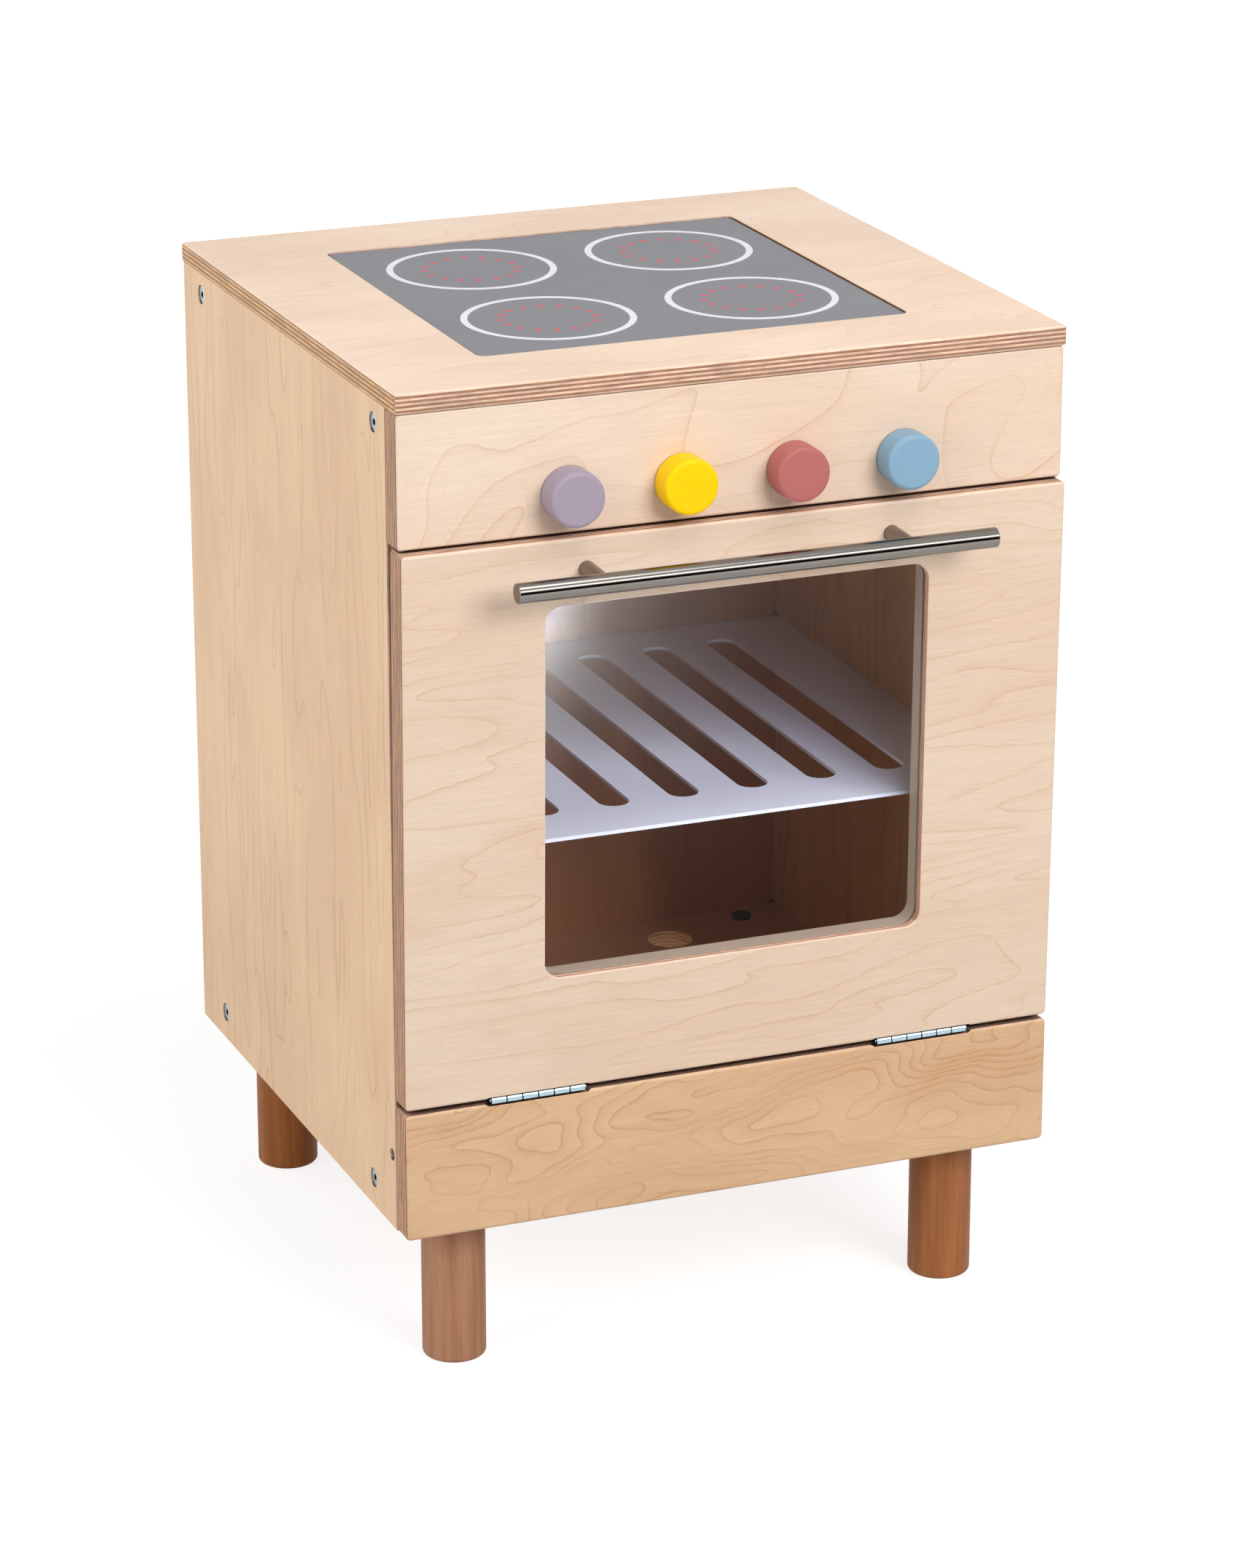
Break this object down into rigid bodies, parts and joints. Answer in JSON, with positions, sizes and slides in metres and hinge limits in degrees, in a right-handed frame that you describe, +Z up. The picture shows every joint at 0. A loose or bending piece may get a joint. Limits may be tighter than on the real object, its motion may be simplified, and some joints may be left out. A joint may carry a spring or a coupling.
{
  "type": "toy stove",
  "caption": "Child-size plywood play stove on round legs, with an inset hob plate, turning knobs, a slotted oven shelf and a drop-down door with a window and a bar handle.",
  "frame": {"origin": "on the ground, under the middle of the box that holds the stove and its handle", "axes": "+Z up, front towards -Y, +X to the viewer's right when facing the front"},
  "size_m": [0.42, 0.4354, 0.6185],
  "materials": {
    "birch_plywood": "clear satin varnish",
    "beech": "clear satin varnish",
    "hob_board": "satin, printed",
    "white_sheet": "satin",
    "clear_acrylic": "polished, clear",
    "stainless_steel": "brushed",
    "zinc_plated_steel": "bright zinc plate",
    "black_steel": "black oxide",
    "lilac_paint": "satin paint on wood",
    "yellow_paint": "satin paint on wood",
    "red_paint": "satin paint on wood",
    "blue_paint": "satin paint on wood"
  },
  "bodies": {
    "cabinet": {"worktop": "birch_plywood", "left_side_panel": "birch_plywood", "right_side_panel": "birch_plywood", "back_panel": "birch_plywood", "floor_panel": "birch_plywood", "plinth_panel": "birch_plywood", "control_panel": "birch_plywood", "upper_front_batten": "beech", "upper_back_batten": "beech", "plinth_rail": "beech", "front_left_leg": "beech", "front_right_leg": "beech", "back_left_leg": "beech", "back_right_leg": "beech", "hob_plate": "hob_board", "oven_shelf": "white_sheet", "side_screws": "zinc_plated_steel", "back_screws": "zinc_plated_steel", "rail_screws": "zinc_plated_steel", "plinth_screws": "zinc_plated_steel", "control_panel_screws": "zinc_plated_steel", "worktop_screws": "zinc_plated_steel", "plinth_hinge_screws": "zinc_plated_steel", "door_magnets": "zinc_plated_steel", "left_hinge_plinth_leaf": "zinc_plated_steel", "left_hinge_pin": "zinc_plated_steel", "right_hinge_plinth_leaf": "zinc_plated_steel", "right_hinge_pin": "zinc_plated_steel", "leg_bolts": "black_steel"},
    "oven_door": {"door_panel": "birch_plywood", "window_pane": "clear_acrylic", "pane_frame": "white_sheet", "pane_clips": "zinc_plated_steel", "strike_discs": "zinc_plated_steel", "handle_bar": "stainless_steel", "handle_caps": "stainless_steel", "handle_posts": "stainless_steel", "handle_screws": "zinc_plated_steel", "door_hinge_screws": "zinc_plated_steel", "left_hinge_door_leaf": "zinc_plated_steel", "right_hinge_door_leaf": "zinc_plated_steel"},
    "lilac_control": {"lilac_knob": "lilac_paint", "lilac_knob_spindle": "zinc_plated_steel", "lilac_knob_nut": "zinc_plated_steel"},
    "yellow_control": {"yellow_knob": "yellow_paint", "yellow_knob_spindle": "zinc_plated_steel", "yellow_knob_nut": "zinc_plated_steel"},
    "red_control": {"red_knob": "red_paint", "red_knob_spindle": "zinc_plated_steel", "red_knob_nut": "zinc_plated_steel"},
    "blue_control": {"blue_knob": "blue_paint", "blue_knob_spindle": "zinc_plated_steel", "blue_knob_nut": "zinc_plated_steel"}
  },
  "joints": [
    {"name": "door_hinge", "type": "hinge", "parent": "cabinet", "child": "oven_door", "pos_m": [0, -0.17426, 0.1815], "axis": [1, 0, 0], "range_deg": [0, 88.9]},
    {"name": "lilac_knob_turn", "type": "hinge", "parent": "cabinet", "child": "lilac_control", "pos_m": [-0.105, -0.17679, 0.55], "axis": [0, -1, 0], "continuous": true},
    {"name": "yellow_knob_turn", "type": "hinge", "parent": "cabinet", "child": "yellow_control", "pos_m": [-0.035, -0.17679, 0.55], "axis": [0, -1, 0], "continuous": true},
    {"name": "red_knob_turn", "type": "hinge", "parent": "cabinet", "child": "red_control", "pos_m": [0.035, -0.17679, 0.55], "axis": [0, -1, 0], "continuous": true},
    {"name": "blue_knob_turn", "type": "hinge", "parent": "cabinet", "child": "blue_control", "pos_m": [0.105, -0.17679, 0.55], "axis": [0, -1, 0], "continuous": true}
  ]
}
